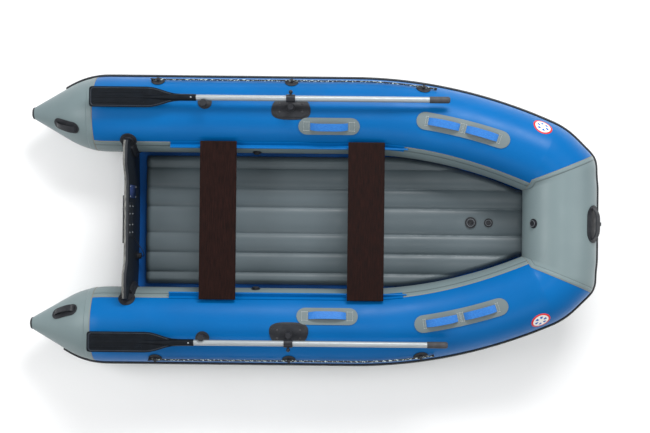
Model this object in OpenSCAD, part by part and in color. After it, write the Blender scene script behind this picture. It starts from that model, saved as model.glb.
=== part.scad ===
// Inflatable rowing and motor boat: air tubes, air floor, plywood transom and benches, stowed oars.
// +X is the bow, +Y is port, +Z is up. The origin is on the ground under the middle of the boat.

/* [Hull tubes] */
// Length from the stern cone tips to the nose of the bow fitting
overall_length = 3164; // [3100:4:3340]
// Width over the rub strakes
beam = 1628; // [1600:2:1700]
// Diameter of the buoyancy tubes
tube_d = 420; // [412:2:428]
// Diameter of the bow tube
bow_tube_d = 402; // [396:2:412]
// Height that the bow tube is raised above the side tubes
bow_rise = 130; // [100:5:150]
// Length of the curved bow quarters, from the straight tube to the inner bow corner
quarter_length = 927; // [890:1:960]
// Distance between the two inner corners of the bow
bow_corner_gap = 364; // [330:2:390]
// Fullness of the outer bow corners beyond a plain bend
corner_bulge = 20; // [0:1:26]
// Direction of the seam between bow quarter and bow tube
bow_seam_angle = 64; // [50:1:72]

/* [Stern cones] */
// Half angle of the stern cones
cone_half_angle = 30; // [28:1:33]
// Radius of the rounded shoulder between cone and tube
shoulder_radius = 440; // [380:10:480]
// Diameter of the cut end of each cone
cone_end_d = 68; // [56:2:80]
// Length of the rubber cap on each cone
cone_cap_length = 14; // [8:1:20]
// Distance from the start of the shoulder to the seam of the cone
cone_seam_setback = 66; // [50:1:90]

/* [Rub strake] */
// Height of the rub strake
strake_height = 46; // [34:1:56]
// Thickness of the rub strake
strake_thickness = 14; // [9:1:18]
// How far the strake runs aft of the cone seam
strake_cone_run = 180; // [100:5:200]

/* [Floor] */
// Height of the valleys of the air floor above the ground
floor_valley_z = 104; // [98:1:112]
// Height of the floor ribs above the valleys
floor_rib_height = 20; // [10:1:24]
// Half width of the middle rib
middle_rib_half = 75; // [68:1:80]
// Width of each of the other ribs
side_rib_width = 112; // [104:1:118]
// Gap seen from above between the air floor and the tubes
floor_side_gap = 13; // [9:1:24]
// Distance from the transom to the aft end of the air floor
floor_aft_gap = 50; // [40:2:80]
// How far the air floor's edges run under the bow quarters
floor_edge_tuck = 8; // [2:1:12]
// How far the air floor runs under the bow tube
floor_bow_tuck = 40; // [20:2:50]
// Height of the bottom skin above the ground, on the centre line
skin_low_z = 12; // [11:0.5:14]
// Thickness of the bottom skin
skin_thickness = 4; // [3:0.5:5]
// Width of the keel strip
keel_strip_width = 60; // [40:2:80]
// Thickness of the keel strip
keel_strip_thickness = 5; // [3:0.5:6]

/* [Transom] */
// Distance from the cone tips to the aft face of the transom
transom_setback = 552; // [530:2:580]
// Thickness of the transom board
transom_thickness = 24; // [18:1:30]
// Height of the transom shoulders
transom_shoulder_z = 452; // [440:2:465]
// Height of the motor cut-out
motor_cutout_z = 398; // [380:2:410]
// Width of the motor cut-out
motor_cutout_width = 476; // [420:4:520]
// Width of the outer motor pad
outer_pad_width = 262; // [200:2:300]
// Height of the motor pads
motor_pad_height = 130; // [100:5:150]
// Thickness of the outer motor pad
outer_pad_thickness = 8; // [5:1:12]
// Width of the inner motor plate
inner_plate_width = 190; // [150:5:220]
// Thickness of the inner motor plate
inner_plate_thickness = 4; // [3:1:8]

/* [Seats] */
// How far each bench reaches past the bead of the seat rail
seat_overhang = 34; // [26:1:36]
// Width of each bench
seat_width = 200; // [180:2:220]
// Thickness of each bench
seat_thickness = 18; // [15:1:22]
// Distance of the forward bench's middle past the start of the bend
forward_seat_ahead = 61; // [40:1:64]
// Distance between the middles of the two benches
seat_spacing = 812; // [780:2:840]
// Diameter of the bead on each seat rail
rail_bead_d = 10; // [8:0.5:11]
// Angle of the seat rails, from the top of the tube inwards
rail_angle = 53.6; // [52:0.2:55]
// Distance of the rail bead from the tube
rail_standoff = 25; // [24:0.5:27]
// Distance of the rails' aft end from the bend of the tubes, along the boat
rail_aft_run = 1020; // [960:5:1080]
// How far the rails run past the start of the bend
rail_forward_run = 290; // [270:2:296]

/* [Oars] */
// Length of each oar
oar_length = 1947; // [1850:1:1980]
// Distance from the oarlock to the end of the grip
oar_inboard = 860; // [800:2:880]
// Diameter of the oar shaft
oar_shaft_d = 31; // [28:0.5:33]
// Width of the blade
blade_width = 111; // [100:1:114]
// Length of the blade, from its tip to the neck
blade_length = 488; // [440:4:520]
// Thickness of the blade plate
blade_thickness = 7; // [5:0.5:10]
// Length of the socket between blade and shaft
socket_length = 89; // [70:1:110]
// Length of the grip
grip_length = 111; // [90:1:130]
// Distance of the oarlocks aft of the bend
oarlock_setback = 355; // [340:1:370]
// Distance of the swivel post outboard of the tube's middle
post_offset = 26; // [22:1:32]
// Distance of the stowed oar outboard of the swivel post
oar_offset = 45; // [44:1:50]
// Height of the stowed oar's axis above the top of the tube
oar_height = 60; // [58:1:66]
// Length of the oarlock base
oarlock_base_length = 206; // [170:2:220]
// Width of the oarlock base
oarlock_base_width = 100; // [88:1:104]
// Distance of the oar clip aft of the oarlock
clip_setback = 470; // [440:2:490]

/* [Fittings] */
// Length of the patch under each single grab handle
single_patch_length = 336; // [310:2:350]
// Length along the boat of the patch under each double grab handle
double_patch_length = 500; // [470:2:520]
// Distance of the single grab handles aft of the bend
single_handle_setback = 146; // [130:2:160]
// Distance of the double grab handles past the start of the bend
double_handle_run = 580; // [560:2:600]
// Width of the grab handle patches
patch_width = 95; // [84:1:104]
// Width of the grab handle webbing
webbing_width = 38; // [30:1:44]
// Height of the finger gap under the webbing
finger_gap = 20; // [17:1:24]
// Diameter of the lifeline
lifeline_d = 10; // [8:0.5:12]
// Angle of the lifeline, from the top of the tube outwards
lifeline_angle = 56; // [54:0.5:59]
// Distance of the lifeline's aft patch behind the oarlock
lifeline_aft_run = 738; // [700:2:760]
// Distance of the lifeline's forward patch past the start of the bend
lifeline_forward_run = 348; // [330:2:360]
// Diameter of the lifeline patches
lifeline_patch_d = 75; // [66:1:80]
// Diameter of the towing eye in the bow fitting
tow_eye_d = 15; // [12:0.5:18]

/* [Hidden] */

blue = "#1173bd";
grey = "#7d8a8e";
black = "#26282b";
brown = "#33231f";
silver = "#e4e1da";

// Clearances and layers
seat_gap = 0.4;         // between a fitting and the tube it is glued to
run_gap = 0.05;         // radial running clearance of a pin in its bore
patch_layer = 4;        // thickness of a glued patch
strap_layer = 3;        // thickness of the webbing
nose_reach = 7;         // how far the bow fitting stands out past the rub strake
ring_sides = 48;        // flats around a curved tube

// Tube axis
tube_r = tube_d / 2;
bow_r = bow_tube_d / 2;
stern_tip_x = -overall_length / 2;
bow_axis_x = overall_length / 2 - nose_reach - strake_thickness - bow_r;
axis_y = beam / 2 - strake_thickness - tube_r;
bow_axis_z = tube_r + bow_rise;
corner_x = bow_axis_x - bow_r;
corner_y = bow_corner_gap / 2;
bend_x = corner_x - quarter_length;
oarlock_x = bend_x - oarlock_setback;
// The arc of a bow quarter is tangent to the side tube and to the bend around the inner bow corner
bend_turn = 2 * atan((axis_y - tube_r - corner_y) / quarter_length);
bend_radius = quarter_length / sin(bend_turn) + tube_r;

// Cone profile
shoulder_r = tube_r - shoulder_radius * (1 - cos(cone_half_angle));
cone_end_x = stern_tip_x + cone_cap_length;
shoulder_x = cone_end_x + (shoulder_r - cone_end_d / 2) / tan(cone_half_angle);
cone_x = shoulder_x + shoulder_radius * sin(cone_half_angle);
cone_seam_x = cone_x - cone_seam_setback;
strake_end_x = cone_seam_x - strake_cone_run;

// Radius of the cone and tube at a place along the boat
function cone_r(x) =
  x >= cone_x ? tube_r
  : x >= shoulder_x ? tube_r - shoulder_radius + sqrt(pow(shoulder_radius, 2) - pow(cone_x - x, 2))
  : shoulder_r - (shoulder_x - x) * tan(cone_half_angle);

// A station is [x, y, z, heading, half width, half height] of one upright section of the tube
function rise_at(h) = bow_rise * pow(min(h / bend_turn, 1), 2.2);
function side_station(x) =
  x <= bend_x ? [x, axis_y, tube_r, 0, cone_r(x), cone_r(x)]
  : arc_station(asin((x - bend_x) / bend_radius));
function arc_r(h) = tube_r + (bow_r - tube_r) * pow(h / bend_turn, 2);
function arc_station(h) = let (run = bend_radius - tube_r + arc_r(h)) [
  bend_x + run * sin(h), axis_y - bend_radius + run * cos(h), tube_r + rise_at(h), h, arc_r(h), arc_r(h)
];
function corner_share(h) = (h - bend_turn) / (90 - bend_turn);
function corner_half(h) = bow_r + corner_bulge / 2 * pow(sin(180 * pow(corner_share(h), 1.5)), 6);
function corner_station(h) = [
  corner_x + corner_half(h) * sin(h), corner_y + corner_half(h) * cos(h), bow_axis_z,
  h, corner_half(h), bow_r
];
function bow_station(y) = [bow_axis_x, y, bow_axis_z, 90, bow_r, bow_r];
function flip(s) = [s[0], -s[1], s[2], 180 - s[3], s[4], s[5]];
function flip_all(list) = [for (i = [len(list) - 1:-1:0]) flip(list[i])];

// Point of a section: angle from the top, positive outboard, and height above the tube's skin
function skin_point(s, a, d) = [
  s[0] + (s[4] + d) * sin(a) * sin(s[3]),
  s[1] + (s[4] + d) * sin(a) * cos(s[3]),
  s[2] + (s[5] + d) * cos(a)
];
function skin_ring(s) = [for (i = [0:ring_sides - 1]) skin_point(s, 360 * i / ring_sides, 0)];

// Station lists, shared by the tubes and by whatever runs along them
cone_xs = [for (i = [0:8]) cone_seam_x - strake_cone_run * (8 - i) / 8];
shoulder_xs = [for (i = [1:4]) cone_seam_x + cone_seam_setback * i / 4];
arc_stations = [for (i = [0:10]) arc_station(bend_turn * i / 10)];
corner_side = [for (i = [1:6]) corner_station(bend_turn + (bow_seam_angle - bend_turn) * i / 6)];
bow_seam_start = bow_seam_angle + 0.15;
corner_bow = [for (i = [0:4]) corner_station(bow_seam_start + (90 - bow_seam_start) * i / 4)];

// Solid between a lower and an upper grid of points, rows along the boat and columns outboard
module slab(lo, hi) {
  n = len(lo);
  m = len(lo[0]);
  k = n * m;
  points = concat([for (row = lo) each row], [for (row = hi) each row]);
  faces = concat(
    [for (i = [0:n - 2], j = [0:m - 2], t = [0, 1])
      let (a = k + i * m + j) t == 0 ? [a, a + 1, a + m] : [a + 1, a + m + 1, a + m]],
    [for (i = [0:n - 2], j = [0:m - 2], t = [0, 1])
      let (a = i * m + j) t == 0 ? [a, a + m, a + 1] : [a + 1, a + m, a + m + 1]],
    [for (i = [0:n - 2], t = [0, 1])
      let (a = i * m) t == 0 ? [a, a + k, a + m] : [a + m, a + k, a + k + m]],
    [for (i = [0:n - 2], t = [0, 1])
      let (a = i * m + m - 1) t == 0 ? [a, a + m, a + k] : [a + m, a + k + m, a + k]],
    [for (j = [0:m - 2], t = [0, 1]) t == 0 ? [j, j + 1, j + k] : [j + 1, j + 1 + k, j + k]],
    [for (j = [0:m - 2], t = [0, 1])
      let (a = (n - 1) * m + j) t == 0 ? [a, a + k, a + 1] : [a + 1, a + k, a + 1 + k]]
  );
  polyhedron(points, faces, convexity = 6);
}

// Solid through a list of closed rings
module loft(rings) {
  n = len(rings);
  m = len(rings[0]);
  points = [for (ring = rings) each ring];
  faces = concat(
    [[for (j = [0:m - 1]) m - 1 - j]],
    [for (i = [0:n - 2], j = [0:m - 1], t = [0, 1])
      let (a = i * m + j, b = i * m + (j + 1) % m) t == 0 ? [a, b, a + m] : [b, b + m, a + m]],
    [[for (j = [0:m - 1]) (n - 1) * m + j]]
  );
  polyhedron(points, faces, convexity = 6);
}

module both_sides() {
  children();
  mirror([0, 1, 0]) children();
}

// Places children on the port tube's skin: outwards along the local Z, boat's length along the local X
module on_skin(s, a, d = 0) {
  translate(skin_point(s, a, d)) rotate([0, 0, -s[3]]) rotate([-a, 0, 0]) children();
}

// Long solid round the tube's own axis, from a list of [radius, x] points
module turned_tube(profile) {
  translate([0, axis_y, tube_r]) rotate([0, 90, 0]) rotate_extrude($fn = 96) polygon(profile);
}

// Patch glued to the skin: rounded ends, between two heights above the skin
function patch_half(u, length, width) =
  let (e = abs(u) - (length - width) / 2)
  e <= 0 ? width / 2 : sqrt(max(pow(width / 2, 2) - e * e, 1));
function patch_rows(length, width) = concat(
  [for (i = [0:5]) -length / 2 + width / 2 * (1 - cos(18 * i))],
  length > width + 1 ? [for (i = [1:5]) (length - width) * (i / 6 - 0.5)] : [],
  [for (i = [0:5]) length / 2 - width / 2 * (1 - cos(18 * (5 - i)))]
);
module side_patch(x, a, length, width, low, high) {
  rows = length > width + 1 ? patch_rows(length, width)
    : [for (i = [0:10]) -length / 2 * cos(18 * i)];
  grid = [for (d = [low, high]) [for (u = rows) [for (j = [-4:4])
    let (s = side_station(x + u)) skin_point(s, a + j / 4 * patch_half(u, length, width) * 57.3 / s[5], d)]]];
  slab(grid[0], grid[1]);
}
module bow_patch(a, length, width, low, high) {
  grid = [for (d = [low, high]) [for (u = patch_rows(length, width)) [for (j = [-4:4])
    skin_point(bow_station(-u), a + j / 4 * patch_half(u, length, width) * 57.3 / bow_r, d)]]];
  slab(grid[0], grid[1]);
}

// Arched strap over a patch: ends on the patch, middle raised by the finger gap
function arch(u) = 1 - pow(abs(u), 4);
module side_strap(x, a, length, width, foot, gap, layer) {
  grid = [for (d = [0, layer]) [for (i = [-8:8]) [for (j = [-1:1])
    skin_point(side_station(x + i / 16 * length), a + j * width / 2 * 57.3 / side_station(x)[5],
      foot + gap * arch(i / 8) + d)]]];
  slab(grid[0], grid[1]);
}
module bow_strap(a, length, width, foot, gap, layer) {
  grid = [for (d = [0, layer]) [for (i = [-8:8]) [for (j = [-1:1])
    skin_point(bow_station(-i / 16 * length), a + j * width / 2 * 57.3 / bow_r,
      foot + gap * arch(i / 8) + d)]]];
  slab(grid[0], grid[1]);
}

// Tubes
module port_side_tube() {
  color(blue) turned_tube(concat(
    [[0, cone_seam_x], [cone_r(cone_seam_x), cone_seam_x]],
    [for (x = shoulder_xs) [cone_r(x), x]],
    [[tube_r, bend_x], [0, bend_x]]
  ));
}
module starboard_side_tube() {
  mirror([0, 1, 0]) port_side_tube();
}
module port_bow_quarter() {
  color(blue) loft([for (s = concat(arc_stations, corner_side)) skin_ring(s)]);
}
module starboard_bow_quarter() {
  mirror([0, 1, 0]) port_bow_quarter();
}
module bow_tube() {
  color(grey) loft([for (s = concat(corner_bow, flip_all(corner_bow))) skin_ring(s)]);
}
module port_stern_cone() {
  color(grey) turned_tube(concat(
    [[0, cone_end_x], [cone_end_d / 2, cone_end_x]],
    [for (x = cone_xs) [cone_r(x), x]],
    [[0, cone_seam_x]]
  ));
}
module starboard_stern_cone() {
  mirror([0, 1, 0]) port_stern_cone();
}
module cone_caps() {
  r = cone_end_d / 2;
  color(black) both_sides() turned_tube([
    [0, stern_tip_x], [r * 0.62, stern_tip_x], [r * 0.88, stern_tip_x + cone_cap_length * 0.25],
    [r, stern_tip_x + cone_cap_length * 0.6], [r, cone_end_x], [0, cone_end_x]
  ]);
}

// Moulded carrying handles on the cones
cone_handle_length = 150;
cone_handle_width = 66;
cone_handle_x = cone_seam_x - 152;
cone_handle_angle = 31;
module cone_handles() {
  color(black) both_sides() {
    side_patch(cone_handle_x, -cone_handle_angle, cone_handle_length, cone_handle_width, 1, 5);
    side_strap(cone_handle_x, -cone_handle_angle, cone_handle_length * 0.78, 28, 5.4, 22, 7);
  }
}

// Rub strake: one band at the widest line of the tubes
function strake_ring(s) = [for (p = [
  [0.5, -0.5], [0.7 * strake_thickness, -0.5], [strake_thickness, -0.3],
  [strake_thickness, 0.3], [0.7 * strake_thickness, 0.5], [0.5, 0.5]])
  [s[0] + (s[4] + p[0]) * sin(s[3]), s[1] + (s[4] + p[0]) * cos(s[3]), s[2] + p[1] * strake_height]];
strake_port = concat(
  [for (x = cone_xs) side_station(x)], [for (x = shoulder_xs) side_station(x)],
  arc_stations, corner_side, [for (i = [1:4]) corner_bow[i]]
);
module rub_strake() {
  color(black) loft([for (s = concat(strake_port, flip_all(strake_port))) strake_ring(s)]);
}

// Bottom skin: its edge lies under each tube, at a tuck inside the tube's inner edge
skin_front_x = corner_x + 150;
tuck_from_x = corner_x - quarter_length * 0.26;
function tuck_at(x) = 62 + 103 * pow(max(0, min(1, (x - tuck_from_x) / (skin_front_x - tuck_from_x))), 1.2);
function inner_y(x, tuck) =
  x <= bend_x ? axis_y - tube_r + tuck
  : x <= corner_x + tuck * sin(bend_turn)
    ? axis_y - bend_radius + sqrt(pow(bend_radius - tube_r + tuck, 2) - pow(x - bend_x, 2))
  : corner_y + sqrt(max(pow(tuck, 2) - pow(x - corner_x, 2), 1));
function lift_at(x) =
  x <= bend_x ? 0 : rise_at(asin(min(1, (x - bend_x) / (bend_radius - tube_r))));
function edge_drop(x) = 2 + 8 * min(1, lift_at(x) / 50);
function edge_z(x) = tube_r + lift_at(x) - sqrt(pow(tube_r, 2) - pow(tube_r - tuck_at(x), 2)) - edge_drop(x);
function keel_z(x) = skin_low_z + (edge_z(skin_front_x) - 4 - skin_low_z)
  * pow(max(0, (x - bend_x) / (skin_front_x - bend_x)), 2.2);
function skin_z(x, y) = keel_z(x)
  + (edge_z(x) - keel_z(x)) * pow(min(1, abs(y) / inner_y(x, tuck_at(x))), 1.6);
transom_x = stern_tip_x + transom_setback;
transom_front_x = transom_x + transom_thickness;
floor_aft_x = transom_front_x + floor_aft_gap;
floor_front_x = corner_x + floor_bow_tuck;
bend_rows = [for (i = [0:12]) bend_x + (floor_front_x - bend_x) * i / 12];
skin_rows = concat([transom_x, floor_aft_x], bend_rows,
  [for (i = [1:3]) floor_front_x + (skin_front_x - floor_front_x) * i / 3]);
module hull_bottom() {
  top = [for (x = skin_rows) [for (j = [-12:12])
    let (y = j / 12 * inner_y(x, tuck_at(x))) [x, y, skin_z(x, y)]]];
  color(blue) slab([for (row = top) [for (p = row) p - [0, 0, skin_thickness]]], top);
}
module keel_strip() {
  rows = [for (x = skin_rows) if (x < skin_front_x - 20) x];
  top = [for (x = rows) [for (j = [-1:1]) [x, j * keel_strip_width / 2, keel_z(x) - skin_thickness - 0.5]]];
  color(black) slab([for (row = top) [for (p = row) p - [0, 0, keel_strip_thickness]]], top);
}

// Air floor: lengthwise ribs, trimmed along the tubes
function rib_u(y) = abs(y) <= middle_rib_half ? y / middle_rib_half
  : ((abs(y) - middle_rib_half) % side_rib_width) / side_rib_width * 2 - 1;
function rib(y) = floor_rib_height * pow(1 - pow(rib_u(y), 2), 0.6);
function floor_top(x) = floor_valley_z + max(0, lift_at(x) - 105) * 0.5 + min(lift_at(x), 105) * 0.42;
function floor_gap(x) = floor_side_gap
  - (floor_side_gap + floor_edge_tuck) * max(0, min(1, (x - bend_x) / 300));
function floor_half(x) = inner_y(min(x, corner_x), 0) - floor_gap(x);
module air_floor() {
  rows = concat([floor_aft_x], bend_rows);
  ys = [for (x = rows) [for (j = [-30:30]) j / 30 * floor_half(x)]];
  low = [for (i = [0:len(rows) - 1]) [for (y = ys[i]) [rows[i], y, skin_z(rows[i], y) + 0.9]]];
  top = [for (i = [0:len(rows) - 1]) [for (y = ys[i]) [rows[i], y, floor_top(rows[i]) + rib(y)]]];
  color(grey) slab(low, top);
}

// Valves
module valve(d, h) {
  cylinder(d = d, h = h * 0.45, $fn = 48);
  cylinder(d = d * 0.72, h = h, $fn = 48);
}
floor_valve_x = corner_x - 262;
relief_valve_x = corner_x - 162;
function floor_crest(x) = floor_top(x) + floor_rib_height;
function floor_pitch(x) = atan((floor_crest(x + 30) - floor_crest(x - 30)) / 60);
module on_floor(x) {
  translate([x, 0, floor_crest(x) + 0.6]) rotate([0, -floor_pitch(x), 0]) children();
}
module floor_valve() {
  color(black) on_floor(floor_valve_x) difference() {
    valve(64, 12);
    translate([0, 0, 3]) cylinder(d = 24, h = 20, $fn = 48);
  }
}
module relief_valve() {
  color(black) on_floor(relief_valve_x) valve(50, 10);
}
valve_x = oarlock_x - 192;
valve_d = 52;
module side_valves() {
  color(black) both_sides() difference() {
    on_skin(side_station(valve_x), -80, -3) valve(valve_d, 14);
    translate([valve_x - valve_d, axis_y, tube_r]) rotate([0, 90, 0])
      cylinder(r = tube_r + seat_gap, h = valve_d * 2, $fn = 96);
  }
}
module bow_valve() {
  color(black) difference() {
    on_skin(bow_station(0), -54, -3) valve(valve_d, 14);
    translate([bow_axis_x, valve_d, bow_axis_z]) rotate([90, 0, 0])
      cylinder(r = bow_r + seat_gap, h = valve_d * 2, $fn = 96);
  }
}

// Transom
holder_layer = 6;
holder_disc_d = 92;
holder_boss_d = 56;
holder_angle = 47;
module on_holder() {
  translate([transom_x + transom_thickness / 2, axis_y, tube_r]) rotate([holder_angle, 0, 0]) children();
}
module transom_board() {
  c = motor_cutout_width / 2;
  z = transom_shoulder_z;
  half = [[c - 30, motor_cutout_z], [c, motor_cutout_z + 4], [c + 30, (motor_cutout_z + z) / 2],
    [c + 60, z - 4], [c + 90, z], [axis_y - 190, z - 4], [axis_y - 158, z - 26], [axis_y - 148, z - 60],
    [axis_y - 100, tube_r], [inner_y(transom_x, 40), edge_z(transom_x) + 6]];
  low = [for (j = [8:-1:-8]) let (y = j / 8 * inner_y(transom_x, 30)) [y, skin_z(transom_x, y) + 0.9]];
  outline = concat(half, low, [for (i = [len(half) - 1:-1:0]) [-half[i][0], half[i][1]]]);
  color("#3a3a3c") difference() {
    translate([transom_x, 0, 0]) rotate([90, 0, 90]) linear_extrude(transom_thickness) polygon(outline);
    both_sides() translate([transom_x - 50, axis_y, tube_r]) rotate([0, 90, 0])
      cylinder(r = tube_r + holder_layer + 0.9, h = transom_thickness + 100, $fn = 96);
    both_sides() on_holder() cylinder(d = holder_boss_d + 1.4, h = tube_r + 17, $fn = 64);
  }
}
module holder_sweep(from, to, profile) {
  translate([transom_x + transom_thickness / 2, axis_y, tube_r]) rotate([0, 90, 0]) rotate([0, 0, 180 + from])
    rotate_extrude(angle = to - from, $fn = 96) polygon(profile);
}
module transom_holders() {
  r = tube_r + seat_gap;
  t = transom_thickness / 2 + 0.4;
  color(black) both_sides() {
    holder_sweep(56, 128, [
      [r, -t - 28], [r + 3, -t - 28], [r + holder_layer, -t - 14], [r + 30, -t - 9], [r + 30, -t],
      [r + holder_layer, -t], [r + holder_layer, t], [r + 30, t], [r + 30, t + 9],
      [r + holder_layer, t + 14], [r + 3, t + 28], [r, t + 28]
    ]);
    difference() {
      union() {
        intersection() {
          translate([transom_x - holder_disc_d, axis_y, tube_r]) rotate([0, 90, 0])
            cylinder(r = tube_r + holder_layer, h = holder_disc_d * 2 + transom_thickness, $fn = 96);
          on_holder() cylinder(d = holder_disc_d, h = tube_r + 20, $fn = 64);
        }
        on_holder() translate([0, 0, tube_r]) cylinder(d = holder_boss_d, h = 16, $fn = 64);
      }
      translate([transom_x - holder_disc_d * 1.5, axis_y, tube_r]) rotate([0, 90, 0])
        cylinder(r = r, h = holder_disc_d * 3 + transom_thickness, $fn = 96);
    }
  }
}
module outer_motor_pad() {
  low_z = motor_cutout_z - motor_pad_height - 4;
  color(black) translate([transom_x - outer_pad_thickness, -outer_pad_width / 2, low_z])
    cube([outer_pad_thickness, outer_pad_width, motor_pad_height]);
}
module inner_motor_plate() {
  low_z = motor_cutout_z - motor_pad_height - 4;
  color("#4a4c50") translate([transom_front_x, -inner_plate_width / 2, low_z])
    cube([inner_plate_thickness, inner_plate_width, motor_pad_height]);
}
module drain_valve() {
  color(black) translate([transom_front_x, 28 - motor_cutout_width / 2, floor_valley_z - 8])
    rotate([0, 90, 0]) {
    cylinder(d = 54, h = 6, $fn = 48);
    cylinder(d = 34, h = 24, $fn = 48);
  }
}

// Seat rails and benches
bead_r = rail_bead_d / 2;
bead_y = axis_y - (tube_r + rail_standoff) * sin(rail_angle);
bead_z = tube_r + (tube_r + rail_standoff) * cos(rail_angle);
rail_start_x = bend_x - rail_aft_run;
rail_end_x = bend_x + rail_forward_run;
module seat_rails() {
  foot = [for (d = [2, 5]) [for (i = [0:14]) let (x = rail_start_x + (rail_end_x - rail_start_x) * i / 14)
    [for (j = [-3:3]) skin_point(side_station(x), -rail_angle + j * 2, d)]]];
  color(blue) both_sides() {
    slab(foot[0], foot[1]);
    difference() {
      translate([rail_start_x, axis_y, tube_r]) rotate([rail_angle, 0, 0]) translate([0, -2, tube_r + 3])
        cube([rail_end_x - rail_start_x, 4, rail_standoff - 3]);
      loft([for (s = arc_stations) [for (i = [0:ring_sides - 1]) skin_point(s, 360 * i / ring_sides, 2)]]);
    }
    translate([rail_start_x, bead_y, bead_z]) rotate([0, 90, 0])
      cylinder(r = bead_r, h = rail_end_x - rail_start_x, $fn = 48);
  }
}
seat_z = bead_z + 22;
seat_length = 2 * (bead_y + seat_overhang);
forward_seat_x = bend_x + forward_seat_ahead;
aft_seat_x = forward_seat_x - seat_spacing;
runner_width = 28;
module seat_board(x) {
  translate([x - seat_width / 2, 0, seat_z]) rotate([90, 0, 90]) linear_extrude(seat_width) polygon([
    [-seat_length / 2, 0], [seat_length / 2, 0], [seat_length / 2, seat_thickness - 3],
    [seat_length / 2 - 3, seat_thickness], [3 - seat_length / 2, seat_thickness],
    [-seat_length / 2, seat_thickness - 3]
  ]);
}
module seat_runners(x) {
  both_sides() difference() {
    translate([x - seat_width / 2 + 10, bead_y - runner_width / 2, bead_z - 12])
      cube([seat_width - 20, runner_width, seat_z - bead_z + 12]);
    translate([x - seat_width, bead_y, bead_z]) rotate([0, 90, 0])
      cylinder(r = bead_r + 0.6, h = seat_width * 2, $fn = 48);
    translate([x - seat_width, bead_y, bead_z]) rotate([rail_angle, 0, 0]) translate([0, -3, -60])
      cube([seat_width * 2, 6, 60]);
    translate([x - seat_width, axis_y, tube_r]) rotate([0, 90, 0])
      cylinder(r = tube_r + rail_standoff - 10, h = seat_width * 2, $fn = 96);
  }
}
module aft_seat_board() {
  color(brown) seat_board(aft_seat_x);
}
module aft_seat_runners() {
  color(blue) seat_runners(aft_seat_x);
}
module forward_seat_board() {
  color(brown) seat_board(forward_seat_x);
}
module forward_seat_runners() {
  color(blue) seat_runners(forward_seat_x);
}

// Oarlocks
post_y = axis_y + post_offset;
oar_y = post_y + oar_offset;
oar_z = tube_d + oar_height;
boss_top_z = tube_d + 27;
stem_r = 9;
pin_r = 6;
base_angle = asin(post_offset / tube_r);
module oarlock_bases() {
  color(black) both_sides() difference() {
    union() {
      intersection() {
        translate([oarlock_x - oarlock_base_length, axis_y, tube_r]) rotate([0, 90, 0])
          cylinder(r = tube_r + 7, h = oarlock_base_length * 2, $fn = 96);
        translate([oarlock_x, axis_y, tube_r]) rotate([-base_angle, 0, 0])
          linear_extrude(tube_r + 20) union() {
          square([oarlock_base_length - oarlock_base_width, oarlock_base_width], center = true);
          for (k = [-1, 1]) translate([k * (oarlock_base_length - oarlock_base_width) / 2, 0])
            circle(d = oarlock_base_width, $fn = 64);
        }
      }
      translate([oarlock_x, post_y, tube_d - 20]) cylinder(r = 21, h = boss_top_z - tube_d + 20, $fn = 64);
    }
    translate([oarlock_x - oarlock_base_length, axis_y, tube_r]) rotate([0, 90, 0])
      cylinder(r = tube_r + seat_gap, h = oarlock_base_length * 2, $fn = 96);
    translate([oarlock_x, post_y, tube_d + 2]) cylinder(r = stem_r + run_gap, h = 40, $fn = 64);
  }
}
collar_length = 48;
collar_r = 22;
collar_gap = 1.5;
knob_d = 22;
module port_oarlock_head() {
  color(black) {
    translate([oarlock_x, post_y, tube_d + 3]) cylinder(r = stem_r, h = boss_top_z - tube_d, $fn = 64);
    translate([oarlock_x, post_y, boss_top_z + 0.5]) cylinder(r = 16, h = oar_z - boss_top_z + 14, $fn = 64);
    translate([oarlock_x, post_y, oar_z]) rotate([-90, 0, 0])
      cylinder(r = pin_r, h = oar_offset + collar_r + 10, $fn = 64);
    translate([oarlock_x, oar_y + collar_r + 2 + knob_d / 2, oar_z]) sphere(d = knob_d, $fn = 48);
  }
}
module starboard_oarlock_head() {
  mirror([0, 1, 0]) port_oarlock_head();
}

// Oars, stowed along the tubes with the blade aft
blade_tip_x = oarlock_x + oar_inboard - oar_length;
socket_x = blade_tip_x + blade_length;
shaft_x = socket_x + socket_length;
grip_x = oarlock_x + oar_inboard - grip_length;
shaft_r = oar_shaft_d / 2;
module cross_pin_bore() {
  translate([oarlock_x, oar_y - 60, oar_z]) rotate([-90, 0, 0])
    cylinder(r = pin_r + run_gap, h = 120, $fn = 64);
}
module along_oar(x, r, length) {
  translate([x, oar_y, oar_z]) rotate([0, 90, 0]) cylinder(r = r, h = length, $fn = 64);
}
module port_oar_shaft() {
  color(silver) difference() {
    along_oar(shaft_x, shaft_r, grip_x - shaft_x);
    cross_pin_bore();
  }
}
module port_oar_collar() {
  color(black) difference() {
    along_oar(oarlock_x - collar_length / 2, collar_r, collar_length);
    along_oar(oarlock_x - collar_length, shaft_r + 0.02, collar_length * 2);
    cross_pin_bore();
  }
}
module port_oar_grip() {
  color(black) {
    along_oar(grip_x, shaft_r + 2.5, grip_length - 6);
    along_oar(grip_x + grip_length - 18, shaft_r - 1, 18);
  }
}
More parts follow.
